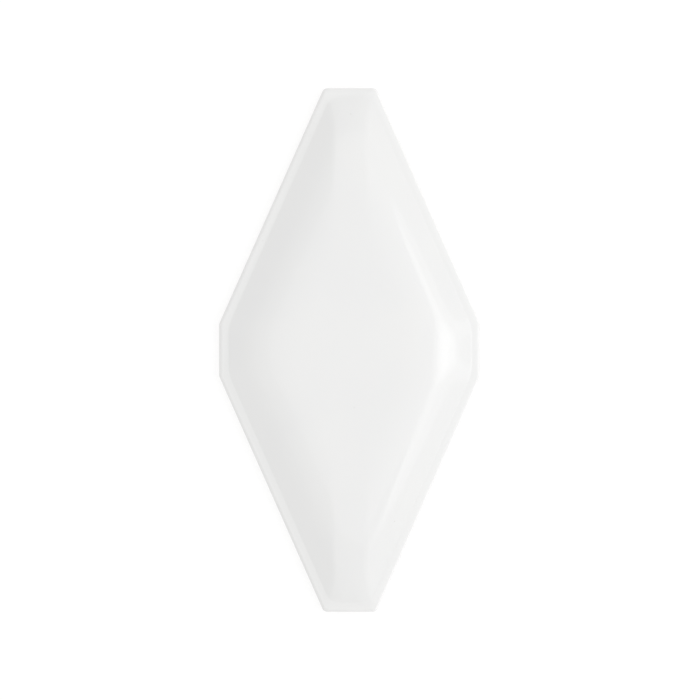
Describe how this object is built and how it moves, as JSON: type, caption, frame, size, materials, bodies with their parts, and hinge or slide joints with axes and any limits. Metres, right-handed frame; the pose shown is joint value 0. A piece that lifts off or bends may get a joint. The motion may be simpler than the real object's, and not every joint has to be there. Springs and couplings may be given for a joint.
{
  "type": "glazed ceramic diamond tile",
  "caption": "Elongated diamond wall tile with clipped points, a cushioned gloss white glazed face over a pressed clay body, and a ribbed back that keys into adhesive.",
  "frame": {"origin": "centre of the back, on the plane of its land and ribs", "axes": "+Z out of the glazed face, +Y along the tile from end to end, +X across it"},
  "size_m": [0.1, 0.2, 0.0115],
  "materials": {
    "biscuit": "matt, porous, unglazed",
    "engobe": "matt, opaque",
    "glaze": "gloss"
  },
  "bodies": {
    "root": {"biscuit_body": "biscuit", "engobe_coat": "engobe", "glaze_coat": "glaze"}
  },
  "joints": []
}
